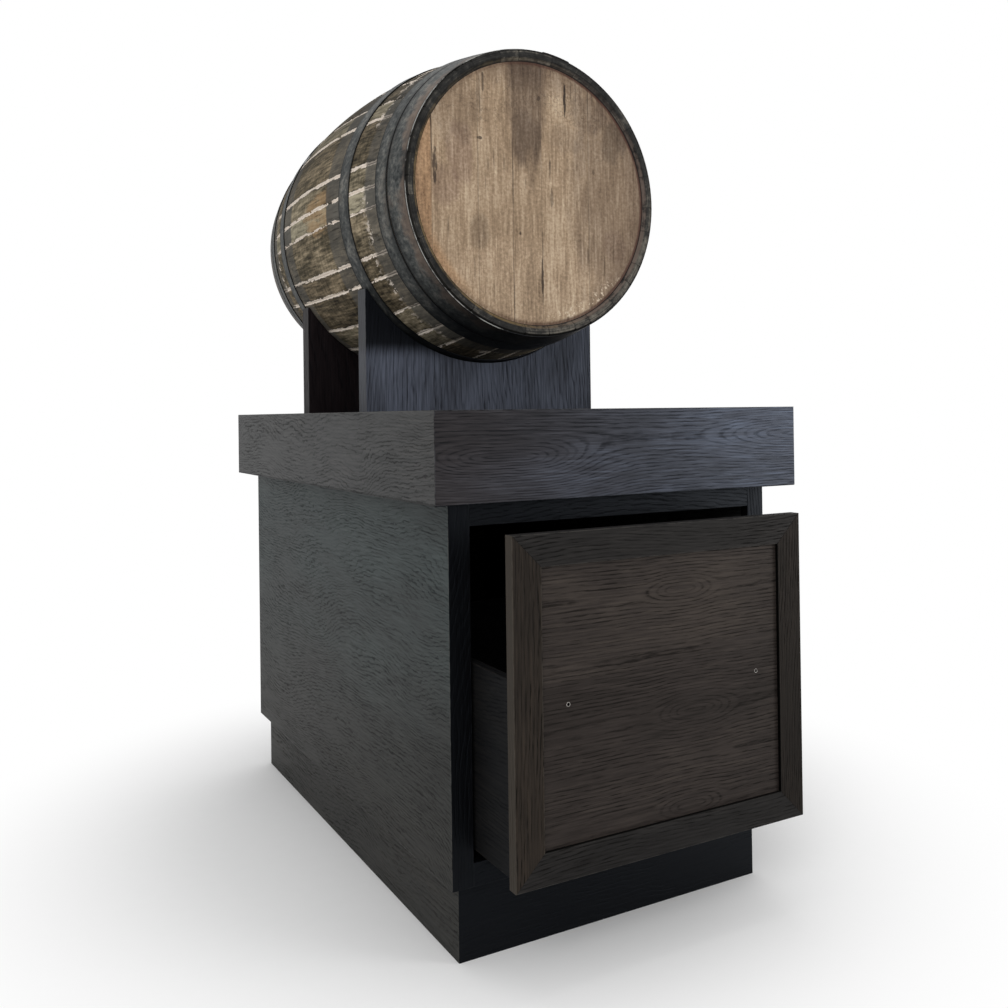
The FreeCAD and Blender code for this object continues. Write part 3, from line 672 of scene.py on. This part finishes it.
def weathered_stave():
    """Grey oak with darker bands where hoops have been, pale streaks along the joints and painted shade top
    and bottom.
    """
    s = Shader("stave_wood")
    along, edge, tone, seam = [s.attribute(key) for key in stave_layers]
    place = s.place()
    x, y, z = s.split(place)
    shift = s.times(tone, 40.0)

    def stretched(along_scale, cross_scale, detail):
        across = s.sum(s.times(x, cross_scale), shift)
        return s.noise(s.join(across, s.times(y, along_scale), s.times(z, cross_scale)), detail, 0.6)

    # Wood, bare in one patch
    clouds = stretched(6.0, 18.0, 5.0)
    fibres = stretched(16.0, 180.0, 4.0)
    saw_marks = stretched(120.0, 46.0, 3.0)
    mixed = s.sum(s.times(clouds, 1.1), s.times(fibres, 1.2), s.times(saw_marks, 0.55),
                  s.times(tone, 0.4), -1.1)
    colour = s.ramp(mixed, (0.1, linear(34, 32, 27)), (0.38, linear(82, 76, 64)),
                    (0.62, linear(128, 118, 101)), (0.88, linear(172, 159, 138)))
    colour = s.mix(0.7, colour, s.mix(tone, brown_stave, grey_stave), "MULTIPLY")
    bare = s.times(s.spot(y, z, tan_patch, tan_reach), s.math("LESS_THAN", x, 0.0))
    bare = s.smooth(s.sum(s.times(bare, 0.4), stretched(22.0, 70.0, 6.0)), 0.66, 0.92)
    tan = s.mix(fibres, linear(132, 106, 76), linear(196, 164, 124))
    colour = s.mix(s.times(bare, 0.6), colour, tan)

    # Bands of old hoops, and cracks
    from_end = end_distance(s)
    waver = s.minus(stretched(24.0, 30.0, 4.0), 0.5)
    uneven = s.sum(from_end, s.times(waver, band_waver))
    old_bilge = s.between(uneven, *old_bilge_band, old_bilge_soft)
    old_quarter = s.between(uneven, *old_quarter_band, old_quarter_soft)
    old = s.times(s.math("MAXIMUM", old_bilge, old_quarter), s.sum(s.times(tone, 0.35), 0.6))
    mottle = s.sum(s.times(clouds, 0.6), s.times(fibres, 0.4))
    colour = s.mix(old, colour, s.mix(mottle, linear(34, 34, 33), linear(116, 113, 107)))
    cracked = s.smooth(stretched(4.0, 12.0, 2.0), 0.4, 0.6)
    cracks = s.times(s.smooth(stretched(9.0, 150.0, 3.0), 0.57, 0.66), cracked)
    colour = s.mix(s.times(cracks, 0.6), colour, linear(34, 30, 25))

    # Pale streaks along the joints, crust beside the old quarter hoop, and painted shade on the top and
    # underside
    thick = s.noise(s.join(s.times(along, 18.0), shift, s.times(seam, 9.0)), 4.0, 0.65)
    whole = s.smooth(s.sum(thick, s.times(seam, 0.3)), 0.57, 0.68)
    ragged = s.times(s.minus(stretched(100.0, 200.0, 4.0), 0.5), streak_rag)
    reach = s.sum(s.times(whole, seam, s.sum(thick, 0.35), streak_width), -streak_least)
    streak = s.smooth(s.minus(reach, s.sum(edge, ragged)), *streak_soft)
    streak = s.times(streak, s.invert(s.times(old_quarter, 0.7)), s.smooth(from_end, *streak_start))
    borders = s.between(uneven, *crust_band, crust_soft)
    crust = s.smooth(s.sum(stretched(70.0, 120.0, 4.0), s.times(borders, 0.2)), 0.66, 0.74)
    crust = s.times(crust, s.smooth(borders, 0.1, 0.5), s.smooth(s.noise(place, 2.0, 0.5, 6.0), 0.5, 0.58))
    pale = s.math("MAXIMUM", streak, s.times(crust, 0.85))
    chalk = s.mix(stretched(60.0, 300.0, 2.0), linear(206, 190, 174), linear(248, 238, 226))
    # Painted shade: darker on the barrel's top and underside, which also dims the pale streaks
    height_shade = painted_height_shade(s, z, *stave_painted_shade)
    colour = s.mix(height_shade, colour, linear(15, 15, 14))
    colour = s.mix(pale, colour, s.mix(s.times(height_shade, 0.4), chalk, linear(60, 56, 52)))

    # Dark joints and ends
    groove = s.invert(s.smooth(edge, *stave_joint_line))
    colour = s.mix(s.times(groove, s.invert(pale), 0.8), colour, linear(22, 20, 17))
    colour = s.mix(s.invert(s.smooth(from_end, *stave_end_line)), colour, linear(30, 29, 27))
    relief = s.sum(s.times(fibres, 0.6), s.times(pale, 0.9), s.times(clouds, 0.3), s.times(cracks, -1.0))
    s.bump(relief, stave_relief, 0.7)
    return s.finish(colour, s.sum(s.times(fibres, 0.15), 0.72), 0.06)


def chime_wood():
    """Weather-blackened end grain of the staves, and the browner bevel inside it."""
    s = Shader("chime_wood")
    place = s.place()
    x, _, z = s.split(place)
    tone, edge = s.attribute("tone"), s.attribute("edge")
    height = barrel_height(s, z)
    rise = s.minus(z, axis_z)
    radius = s.math("POWER", s.sum(s.times(x, x), s.times(rise, rise)), 0.5)
    lines = s.noise(s.join(s.times(radius, 380.0), s.times(tone, 9.0), 0.0), 2.0)
    grain = s.noise(place, 4.0, 0.65, 90.0)
    blots = s.noise(place, 6.0, 0.7, 26.0)
    right = s.smooth(x, *bleached_side)
    bleached = s.times(s.smooth(s.times(height, -1.0), -0.3, 0.7), right)
    mixed = s.sum(s.times(grain, 1.0), s.times(blots, 0.9), s.times(lines, 0.9), s.times(tone, 0.2),
                  s.times(bleached, 0.28), -1.09)
    colour = s.ramp(mixed, (0.2, linear(9, 9, 8)), (0.5, linear(38, 37, 35)), (0.9, linear(104, 99, 90)))
    from_end = end_distance(s)
    brown = s.smooth(s.sum(blots, s.times(lines, 0.5)), 0.6, 0.8)
    clean = s.invert(s.times(s.smooth(height, 0.15, 0.6), 0.8))
    bevel = s.times(s.smooth(from_end, *bevel_start), brown, clean, 0.8)
    colour = s.mix(bevel, colour, s.mix(right, linear(104, 87, 58), linear(98, 85, 77)))
    colour = s.mix(s.smooth(from_end, chime_lip * 0.75, chime_lip * 0.95), colour, linear(18, 13, 11))
    joint = s.invert(s.smooth(edge, *chime_joint_line))
    colour = s.mix(s.times(joint, 0.7), colour, linear(8, 8, 8))
    s.bump(grain, chime_relief, 0.6)
    return s.finish(colour, 0.75, 0.2)


def build_staves():
    joints = joint_angles()
    pick = random.Random(streak_seed)
    seams = [pick.uniform(*streak_strengths) for _ in joints]
    spans = list(zip(joints, joints[1:] + [joints[0] + 2 * math.pi]))
    pairs = list(zip(seams, seams[1:] + seams[:1]))
    top = next(i for i, (a, b) in enumerate(spans) if a < 0 < b)
    wood, chime = weathered_stave(), chime_wood()
    staves = stave_mesh("staves", spans[:top] + spans[top + 1:], pairs[:top] + pairs[top + 1:])
    bung_low, bung_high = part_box("bung")
    bored = stave_mesh("bored_stave", [spans[top]], [pairs[top]])
    bore(bored, bung_high.x, bung_low.z - stave_thickness, bung_high.z + stave_thickness)
    for piece, node in ((staves, "barrel_staves"), (bored, "bung_stave")):
        dress(piece, wood, chime)
        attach(piece, "cabinet")
        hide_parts(node)


def head_boards(node, name):
    """The head's boards as separate solids with eased seams, each with its own tone."""
    mesh = nodes[node].data
    sides = [face for face in mesh.polygons if abs(face.normal.x) > facing_share and face.area > seam_area]
    seams = sorted({round(face.center.x, 4) for face in sides})
    bm = bmesh.new()
    tone_layer = bm.verts.layers.float.new("tone")
    pick = random.Random(seed_of(node))
    limits = [-bilge_radius] + seams + [bilge_radius]
    for low, high in zip(limits, limits[1:]):
        made = {}
        tone = pick.random()
        board = bmesh.new()
        for face in mesh.polygons:
            if low < face.center.x - face.normal.x * seam_inset < high:
                corners = []
                for index in face.vertices:
                    if index not in made:
                        made[index] = board.verts.new(mesh.vertices[index].co)
                    corners.append(made[index])
                board.faces.new(corners)
        bmesh.ops.remove_doubles(board, verts=board.verts, dist=weld_distance)
        bmesh.ops.dissolve_limit(board, angle_limit=board_flat_angle, verts=board.verts, edges=board.edges)
        sharp = [e for e in board.edges if len(e.link_faces) == 2 and e.calc_face_angle() > sharp_angle]
        bmesh.ops.bevel(board, geom=sharp, offset=seam_ease, segments=ease_segments, profile=0.5,
                        affect="EDGES")
        copies = {}
        for v in board.verts:
            copies[v] = bm.verts.new(v.co)
            copies[v][tone_layer] = tone
        for f in board.faces:
            bm.faces.new([copies[v] for v in f.verts])
        board.free()
    bmesh.ops.recalc_face_normals(bm, faces=bm.faces)
    return add_mesh(name, bm), seams


def head_wood(name, seams, upright):
    """Bare oak of one head: upright grain, weather stains, dark seams and a worn rim. The stains hang from
    the top where upright is 1 and stand at the bottom where it is -1."""
    s = Shader(name + "_wood")
    tone = s.attribute("tone")
    place = s.place()
    x, y, z = s.split(place)
    across = s.times(x, 1 / head_radius)
    leftward = s.times(across, -1.0)
    up = s.times(s.minus(z, axis_z), upright / head_radius)
    shift = s.times(tone, 30.0)

    def stretched(along_scale, cross_scale, detail):
        side = s.sum(s.times(x, cross_scale), shift)
        return s.noise(s.join(side, s.times(y, cross_scale), s.times(z, along_scale)), detail, 0.6)

    # Wood
    clouds = stretched(5.0, 14.0, 5.0)
    bands = stretched(3.0, 60.0, 3.0)
    fibres = stretched(16.0, 210.0, 4.0)
    speckle = s.noise(place, 3.0, 0.6, 170.0)
    cracked = s.smooth(stretched(9.0, 24.0, 3.0), 0.48, 0.62)
    cracks = s.times(s.smooth(stretched(7.0, 170.0, 3.0), 0.6, 0.68), cracked)
    grain = s.sum(s.times(bands, 0.5), s.times(fibres, 0.85), s.times(speckle, 0.7))
    mixed = s.sum(s.times(clouds, 0.6), grain, s.times(tone, 0.1), -0.87)
    colour = s.ramp(mixed, (0.05, linear(78, 62, 46)), (0.5, linear(142, 121, 98)),
                    (0.95, linear(190, 171, 146)))

    # Stains, one darker board, cracks and scratches
    patches = s.times(s.minus(stretched(13.0, 34.0, 7.0), 0.5), 2.0)
    flecks = s.times(s.minus(stretched(60.0, 150.0, 4.0), 0.5), 3.0)
    for centre, reach, kind, strength in head_stains:
        spot = s.spot(across, up, centre, [size * 1.5 for size in reach])
        ragged = flecks if min(reach) < small_mark else patches
        stain = s.times(s.smooth(s.sum(s.times(spot, 1.1), ragged), 0.25, 0.95), s.smooth(spot, 0.0, 0.5))
        colour = s.mix(s.times(stain, strength), colour, head_tones[kind], "MULTIPLY")
    low, high, full = head_dark_board
    upper = s.smooth(s.sum(up, s.times(patches, 0.3)), 0.0, full)
    grey = s.times(s.between(across, low, high, head_dark_soft), upper)
    colour = s.mix(s.times(grey, 0.6), colour, head_tones["grey"], "MULTIPLY")
    colour = s.mix(s.times(cracks, 0.6), colour, linear(58, 46, 36))
    bend = s.apart(s.noise(place, 3.0, 0.6, 34.0), 0.5)
    scratch = s.times(s.invert(s.smooth(bend, 0.004, 0.016)), s.smooth(s.sum(up, patches), 0.1, 0.7))
    colour = s.mix(s.times(scratch, 0.4), colour, linear(70, 58, 48))

    # Rim, dark on the right and sandy on the left
    from_axis = s.math("POWER", s.sum(s.times(across, across), s.times(up, up)), 0.5)
    rim = s.times(s.smooth(from_axis, 0.78, 0.98), s.smooth(s.sum(across, s.times(up, 0.6)), -0.2, 0.6))
    colour = s.mix(s.times(rim, 0.55), colour, head_tones["rim"], "MULTIPLY")
    leftmost = s.smooth(leftward, 0.86, 0.89)
    left_rim = s.times(s.smooth(from_axis, 0.9, 0.97), s.smooth(leftward, 0.1, 0.5))
    rust = s.math("MAXIMUM", leftmost, s.between(up, -0.75, -0.35, 0.15))
    rust = s.times(rust, s.math("MAXIMUM", left_rim, leftmost))
    sand = s.sum(s.times(fibres, 0.9), s.times(speckle, 1.2), s.times(clouds, 0.8), -1.0)
    colour = s.mix(s.times(rust, 0.7), colour, s.mix(sand, linear(92, 66, 46), linear(184, 146, 108)))

    # Seams, pale crust low on the right, and the dark joint to the staves
    for seam, strength in zip(seams, head_seam_lines):
        dark = s.invert(s.smooth(s.apart(x, seam), *seam_line))
        colour = s.mix(s.times(dark, s.smooth(clouds, 0.4, 0.6), strength), colour, linear(44, 34, 28))
    crust = s.smooth(s.noise(place, 3.0, 0.6, 130.0), 0.56, 0.62)
    crust = s.times(crust, s.between(from_axis, 0.9, 0.985, 0.03), s.smooth(across, 0.0, 0.25),
                    s.smooth(s.times(up, -1.0), 0.45, 0.75))
    colour = s.mix(s.times(crust, 0.8), colour, linear(206, 190, 168))
    joint = s.smooth(s.sum(from_axis, s.times(patches, 0.008)), 0.966, 0.988)
    joint = s.times(joint, s.smooth(across, -1.1, 0.5))
    colour = s.mix(s.times(joint, 0.8), colour, linear(62, 34, 28))
    s.bump(s.sum(fibres, s.times(bands, 0.4), s.times(cracks, -0.8)), head_relief, 0.6)
    return s.finish(colour, 0.72, 0.2)


def build_heads():
    for end, upright in (("front", 1), ("rear", -1)):
        node, name = "barrel_head_" + end, "head_boards_" + end
        piece, seams = head_boards(node, name)
        dress(piece, head_wood(name, seams, upright))
        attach(piece, "cabinet")
        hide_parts(node)


# Metal and small parts
def hoop_steel(name, rust):
    """Oxidised steel of one hoop: mottled, dirty along its rims and rusty towards the barrel's end."""
    s = Shader(name + "_steel")
    place = s.place()
    x, y, z = s.split(place)
    low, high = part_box(name)
    mottle = s.noise(place, 8.0, 0.72, 16.0)
    fine = s.noise(place, 4.0, 0.65, 100.0)
    colour = s.ramp(s.sum(s.times(mottle, 1.4), s.times(fine, 1.3), -0.85), (0.2, linear(36, 39, 40)),
                    (0.5, linear(72, 74, 73)), (0.82, linear(114, 113, 108)))
    ends = (s.minus(y, low.y), s.minus(high.y, y))
    near = ends[0] if "front" in name else ends[1]
    outward = s.invert(s.smooth(near, 0.0, (high.y - low.y) * 0.8))
    streaks = s.noise(s.join(s.times(x, 70.0), s.times(y, 14.0), s.times(z, 70.0)), 4.0, 0.6)
    inward = s.math("MINIMUM", *ends)
    dirt = s.smooth(s.minus(streaks, s.times(inward, 22.0)), 0.1, 0.42)
    colour = s.mix(s.times(dirt, 0.5), colour, linear(26, 27, 27))
    patches = s.smooth(s.sum(mottle, s.times(outward, 0.3 * rust)), 0.56, 0.76)
    colour = s.mix(s.times(patches, rust), colour, s.mix(fine, linear(74, 64, 58), linear(122, 106, 94)))
    rim = s.invert(s.smooth(inward, *hoop_rim))
    colour = s.mix(s.times(rim, 0.85), colour, linear(14, 14, 14))
    # Painted shade: darker on the barrel's top and underside
    colour = s.mix(painted_height_shade(s, z, *hoop_painted_shade), colour, linear(10, 12, 15))
    # Painted highlight along the front head hoop's outer edge, on its left side
    if name == "head_hoop_front":
        lit = s.times(s.smooth(s.times(x, -1.0), *highlight_side), s.smooth(mottle, 0.42, 0.56))
        painted_highlight = s.times(s.invert(s.smooth(near, *highlight_edge)), lit)
        colour = s.mix(s.times(painted_highlight, 0.7), colour, linear(168, 168, 164))
    s.bump(s.sum(mottle, s.times(fine, 0.4)), hoop_relief, 0.5)
    return s.finish(colour, s.sum(s.times(mottle, 0.3), 0.45), 0.12, 0.15)


def plain_steel(name, colour):
    s = Shader(name)
    place = s.place()
    brushed = s.noise(s.add("VectorMath", {0: place, 1: (900.0, 12.0, 900.0)}, operation="MULTIPLY"), 2.0)
    marks = s.noise(place, 4.0, 0.6, 35.0)
    shade = s.mix(s.sum(s.times(brushed, 0.4), s.times(marks, 0.6)), dimmed(colour, 0.6), colour)
    s.bump(brushed, smooth_relief, 0.4)
    return s.finish(shade, s.sum(s.times(marks, 0.2), 0.25), 0.5, 1.0)


def nylon():
    s = Shader("carriage_nylon")
    speckle = s.noise(s.place(), 3.0, 0.6, 400.0)
    colour = s.mix(speckle, linear(120, 122, 124), linear(150, 152, 153))
    s.bump(speckle, smooth_relief, 0.4)
    return s.finish(colour, 0.5, 0.4)


def bung_wood():
    s = Shader("bung_wood")
    place = s.place()
    grain = s.noise(s.add("VectorMath", {0: place, 1: (300.0, 300.0, 20.0)}, operation="MULTIPLY"), 3.0)
    colour = s.mix(grain, linear(120, 98, 70), linear(168, 142, 106))
    s.bump(grain, pore_relief, 0.5)
    return s.finish(colour, 0.7, 0.2)


# Finishes by node
def finish_board(name, *choices, **settings):
    """Stained oak with eased edges on one board."""
    dress_node(name, stained_oak(name, *choices, **settings))
    ease(name, board_ease)


def finish_cabinet():
    for name in ("side_panel_left", "side_panel_right", "plinth_left", "plinth_right", "counter_apron_left",
                 "counter_apron_right", "counter_top_panel"):
        # Painted shadow line along the apron's lower edge
        edges = [("Z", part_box(name)[0].z, side_shadow_line)] if "apron" in name else []
        # Sides and plinths: painted shade low down and a painted sheen high up
        gloss, cast = side_gloss, far_side_cast if "right" in name else side_cast
        if "counter" in name:
            gloss, cast = counter_gloss, None
        finish_board(name, "Y", cabinet_stain, 1.6, specular=gloss, sheen=side_sheen, swirl=side_swirl,
                     dark_lines=edges, cast=cast)
    # Aprons: painted shade towards -X and a painted sheen towards +X
    for name in ("counter_apron_front", "counter_apron_back"):
        # Painted shadow line along the apron's lower edge
        edges = [("Z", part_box(name)[0].z, front_shadow_line)]
        finish_board(name, "X", counter_stain, 0.6, 0.7, specular=apron_gloss, pitch=apron_pitch,
                     eyes=apron_eyes, dark_lines=edges, cast=apron_cast)
    # The rear board's darker stain is painted shade
    for end, stain, shade in (("front", cradle_stain, cradle_shade), ("rear", shaded_rear_cradle_stain, None)):
        name = "cradle_board_" + end
        # Painted highlight along the board's left edge
        edges = [("X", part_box(name)[0].x, board_ease)]
        finish_board(name, "Z", stain, 0.3, 0.55, specular=cradle_gloss, pitch=cradle_pitch, shade=shade,
                     pale_lines=edges)
    for name in ("back_panel", "plinth_back"):
        finish_board(name, "X", cabinet_stain, sheen=side_sheen)
    # Painted shade: near-black stain on the plinth front and the face frame
    for name in ("plinth_front", "face_frame_rail_top", "face_frame_rail_bottom"):
        finish_board(name, "X", painted_shade_stain, specular=dull_gloss)
    for name in ("face_frame_stile_left", "face_frame_stile_right"):
        finish_board(name, "Z", painted_shade_stain, 0.3, specular=dull_gloss)


def finish_carcass():
    boards = {"X": ("plinth_cross_rail", "stretcher_front", "stretcher_rear", "counter_ribs"),
              "Y": ("carcass_bottom", "counter_soffit", "slide_bearer_left", "slide_bearer_right")}
    for grain, names in boards.items():
        for name in names:
            dress_node(name, stained_oak(name, grain, carcass_stain, roughness=dull_roughness,
                                         specular=dull_gloss))


def finish_drawer():
    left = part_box("drawer_front_stile_left")[0].x
    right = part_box("drawer_front_stile_right")[0].x
    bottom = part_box("drawer_front_rail_bottom")[1].z
    front = {"curl": 0.3, "contrast": 0.8, "roughness": drawer_roughness, "specular": drawer_gloss,
             "sheen": drawer_sheen, "pitch": front_pitch, "dash": drawer_dash}
    # Painted shadow lines in the gaps beside the drawer panel, and a painted highlight on the left edges
    boards = {
        "drawer_front_stile_left": ("Z", stile_stain, ()),
        "drawer_front_stile_right": ("Z", far_stile_stain, (("X", right, shadow_gap),)),
        "drawer_front_rail_top": ("X", rail_stain, ()),
        "drawer_front_rail_bottom": ("X", rail_stain, (("Z", bottom, shadow_gap),)),
    }
    for name, (grain, stain, lines) in boards.items():
        finish_board(name, grain, stain, dark_lines=lines, pale_lines=(("X", left, board_ease),), **front)
    finish_board("drawer_front_panel", "X", panel_stain, eyes=panel_eyes, leaf_joint=panel_leaf_joint,
                 holes=panel_holes(), **front)
    for name in ("drawer_box_side_left", "drawer_box_side_right", "drawer_bottom"):
        finish_board(name, "Y", box_stain, roughness=dull_roughness, specular=dull_gloss)
    for name in ("drawer_box_front", "drawer_box_back"):
        finish_board(name, "X", box_stain, roughness=dull_roughness, specular=dull_gloss)


def panel_holes():
    """Middles of the two handle holes in the panel's face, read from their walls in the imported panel."""
    walls = {-1: [], 1: []}
    low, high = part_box("drawer_front_panel")
    for face in nodes["drawer_front_panel"].data.polygons:
        x, _, z = face.center
        inside = min(x - low.x, high.x - x, z - low.z, high.z - z)
        if abs(face.normal.y) < 0.5 and inside > panel_margin:
            walls[1 if x > 0 else -1].append(face.center)
    middles = [sum(centres, Vector()) / len(centres) for centres in walls.values()]
    return [Vector((middle.x, low.y, middle.z)) for middle in middles]


def finish_metal():
    for end in ("front", "rear"):
        for hoop, rust in hoop_rust.items():
            name = hoop + "_" + end
            dress_node(name, hoop_steel(name, rust))
            ease(name, metal_ease)
    dress_node("hoop_rivets", hoop_steel("hoop_rivets", rivet_rust))
    zinc = plain_steel("slide_zinc", linear(190, 192, 194))
    screw = plain_steel("screw_zinc", linear(176, 168, 150))
    plastic = nylon()
    for side in ("left", "right"):
        for part in ("cabinet_rail", "middle_rail", "drawer_rail"):
            dress_node("slide_" + part + "_" + side, zinc)
        for part in ("outer", "inner"):
            dress_node("slide_" + part + "_carriage_" + side, plastic)
    for name in ("cradle_screws", "drawer_front_screws"):
        dress_node(name, screw)
    dress_node("bung", bung_wood())
    ease("bung", board_ease)


# Stage
def build_floor():
    bm = bmesh.new()
    bmesh.ops.create_grid(bm, x_segments=1, y_segments=1, size=floor_half)
    floor = add_mesh("floor", bm)
    s = Shader("floor_paper")
    place = s.place()
    grain = s.noise(place, 3.0, 0.6, 30.0)
    s.finish(s.mix(grain, (0.88, 0.88, 0.88, 1.0), (0.9, 0.9, 0.9, 1.0)), 0.9, 0.1)
    distance = s.add("VectorMath", {0: place}, output="Value", operation="LENGTH")
    rays = s.add("LightPath", {}).node.outputs
    seen = s.sum(*[rays[name] for name in seen_rays])
    far = s.times(s.smooth(distance, floor_near, floor_far), seen)
    glow = s.add("Emission", {"Color": white, "Strength": 1.0})
    blend = s.add("MixShader", {0: far, 1: s.surface.outputs[0], 2: glow})
    s.put(s.tree.nodes["Material Output"].inputs["Surface"], blend)
    dress(floor, s.material)


def area_light(name, place, target, size, power):
    light = bpy.data.lights.new(name, "AREA")
    light.shape = "DISK"
    light.size = size
    light.energy = power
    lamp = bpy.data.objects.new(name, light)
    lamp.location = place
    lamp.rotation_euler = (Vector(target) - Vector(place)).to_track_quat("-Z", "Y").to_euler()
    bpy.context.scene.collection.objects.link(lamp)


def build_light():
    """A white room that lights the part at half the level it is seen at, and three lamps."""
    world = bpy.data.worlds.new("studio")
    bpy.context.scene.world = world
    world.use_nodes = True
    tree = world.node_tree
    rays = tree.nodes.new("ShaderNodeLightPath").outputs
    seen = rays[seen_rays[0]]
    for name in seen_rays[1:]:
        both = tree.nodes.new("ShaderNodeMath")
        both.operation = "ADD"
        tree.links.new(seen, both.inputs[0])
        tree.links.new(rays[name], both.inputs[1])
        seen = both.outputs[0]
    level = tree.nodes.new("ShaderNodeMapRange")
    level.inputs["To Min"].default_value = room_light
    level.inputs["To Max"].default_value = 1.0
    tree.links.new(seen, level.inputs["Value"])
    shade = tree.nodes["Background"]
    tree.links.new(level.outputs[0], shade.inputs["Strength"])
    shade.inputs["Color"].default_value = white
    for lamp in lamps:
        area_light(*lamp)


def build_camera():
    flat = math.cos(camera_pitch)
    forward = Vector((math.sin(camera_yaw) * flat, math.cos(camera_yaw) * flat, math.sin(camera_pitch)))
    level = Vector((math.cos(camera_yaw), -math.sin(camera_yaw), 0))
    upward = level.cross(forward)
    right = level * math.cos(camera_roll) + upward * math.sin(camera_roll)
    up = upward * math.cos(camera_roll) - level * math.sin(camera_roll)
    turn = Matrix((right, up, -forward)).transposed()
    data = bpy.data.cameras.new("camera")
    data.sensor_width = sensor_width
    data.lens = sensor_width * focal_pixels / image_size
    data.shift_x = (image_size / 2 - centre_u) / image_size
    data.shift_y = (centre_v - image_size / 2) / image_size
    camera = bpy.data.objects.new("camera", data)
    camera.matrix_world = Matrix.Translation(camera_place) @ turn.to_4x4()
    bpy.context.scene.collection.objects.link(camera)
    bpy.context.scene.camera = camera


build_staves()
build_heads()
finish_cabinet()
finish_carcass()
finish_drawer()
finish_metal()
build_floor()
build_light()
build_camera()
bpy.context.scene.view_settings.view_transform = "Standard"
